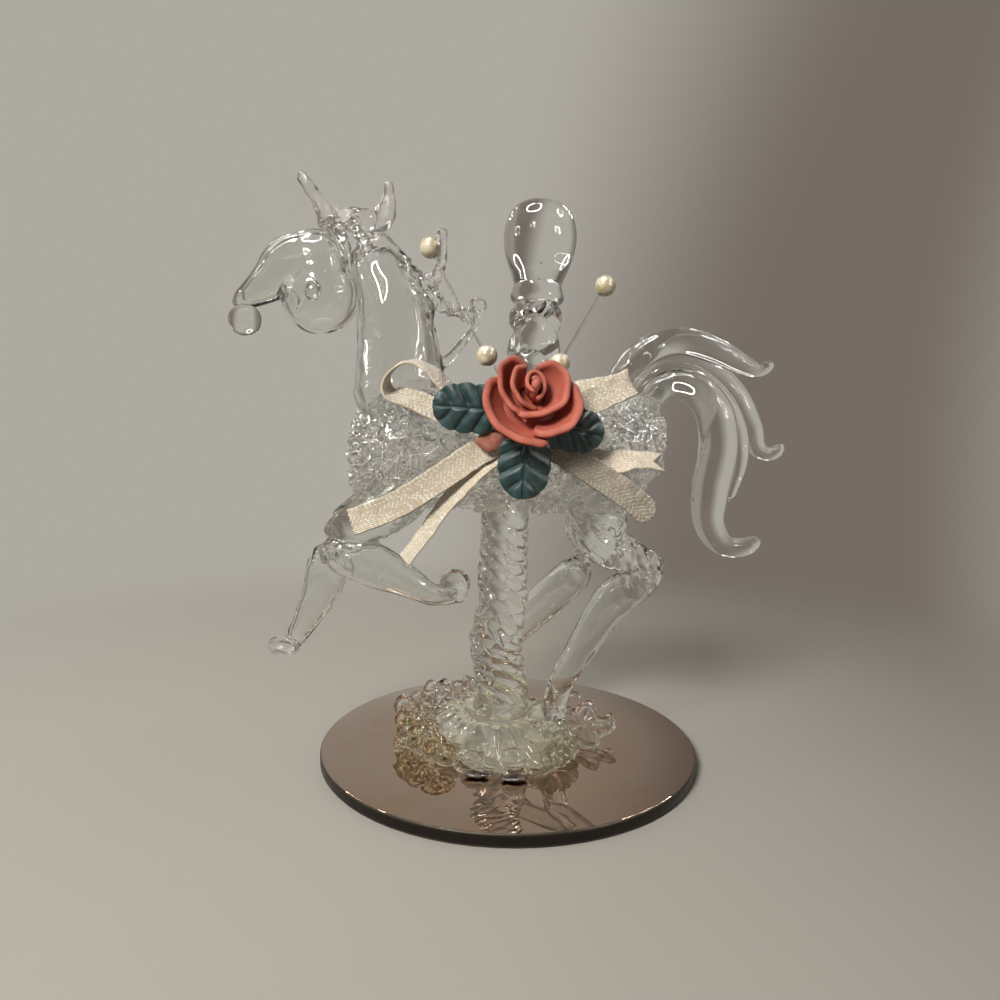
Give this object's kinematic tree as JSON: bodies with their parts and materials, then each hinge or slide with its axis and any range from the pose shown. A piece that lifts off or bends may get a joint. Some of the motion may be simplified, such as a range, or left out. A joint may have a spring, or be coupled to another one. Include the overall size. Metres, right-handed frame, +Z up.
{
  "type": "carousel horse figurine",
  "caption": "Lampworked glass horse with a spun-thread body on a twisted pole over a round mirror, with a ribbon bow, clay rose and pearl sprays.",
  "frame": {"origin": "centre of the mirror's underside", "axes": "+Z up the pole; the horse faces -X; its near side, with the bow, faces -Y"},
  "size_m": [0.0923, 0.061, 0.0926],
  "materials": {
    "clear_glass": "fire polished, colourless",
    "spun_glass": "fused loops of thread, glittering",
    "bronze_mirror_glass": "bronze tinted mirror, polished edge",
    "mirror_backing_paint": "matt protective paint",
    "aged_glue": "clear glue gone yellow",
    "satin_ribbon": "cream satin, coarse weave",
    "rose_clay": "hand rolled salmon clay, matt",
    "leaf_clay": "moulded dark teal clay, slight sheen",
    "pearl": "cream pearl lacquer",
    "clear_filament": "clear nylon line"
  },
  "bodies": {
    "root": {"base_foot": "clear_glass", "base_scroll": "clear_glass", "base_beads": "clear_glass", "base_star_leaf": "clear_glass", "pole_below_horse": "clear_glass", "pole_above_horse": "clear_glass", "pole_finial": "clear_glass", "horse_neck": "clear_glass", "horse_head": "clear_glass", "horse_muzzle": "clear_glass", "horse_eye_near": "clear_glass", "horse_eye_far": "clear_glass", "horse_poll": "clear_glass", "horse_ear_near": "clear_glass", "horse_ear_far": "clear_glass", "horse_forelock": "clear_glass", "mane_curl_upper": "clear_glass", "mane_curl_middle": "clear_glass", "mane_curl_lower": "clear_glass", "foreleg_near_upper": "clear_glass", "foreleg_near_lower": "clear_glass", "foreleg_far_upper": "clear_glass", "foreleg_far_lower": "clear_glass", "foreleg_far_hoof": "clear_glass", "hindleg_near_upper": "clear_glass", "hindleg_near_lower": "clear_glass", "hindleg_near_hoof": "clear_glass", "hindleg_far_upper": "clear_glass", "hindleg_far_lower": "clear_glass", "tail_great_curl": "clear_glass", "tail_inner_curl": "clear_glass", "tail_outer_curl": "clear_glass", "tail_top_curl": "clear_glass", "horse_barrel": "spun_glass", "mirror_glass": "bronze_mirror_glass", "mirror_backing": "mirror_backing_paint", "base_glue_pad": "aged_glue", "bow_glue_dab": "aged_glue", "ribbon_knot": "satin_ribbon", "ribbon_loop_left": "satin_ribbon", "ribbon_loop_right": "satin_ribbon", "ribbon_tail_left_wide": "satin_ribbon", "ribbon_tail_left_narrow": "satin_ribbon", "ribbon_tail_right_wide": "satin_ribbon", "ribbon_tail_right_narrow": "satin_ribbon", "rose_bud": "rose_clay", "rose_petal_inner": "rose_clay", "rose_petal_right": "rose_clay", "rose_petal_upper_left": "rose_clay", "rose_petal_lower_right": "rose_clay", "rose_petal_lower_left": "rose_clay", "leaf_left": "leaf_clay", "leaf_lower": "leaf_clay", "leaf_right": "leaf_clay", "pearl_left_lower": "pearl", "pearl_left_upper": "pearl", "pearl_right_lower": "pearl", "pearl_right_upper": "pearl", "filament_left": "clear_filament", "filament_right": "clear_filament"}
  },
  "joints": []
}
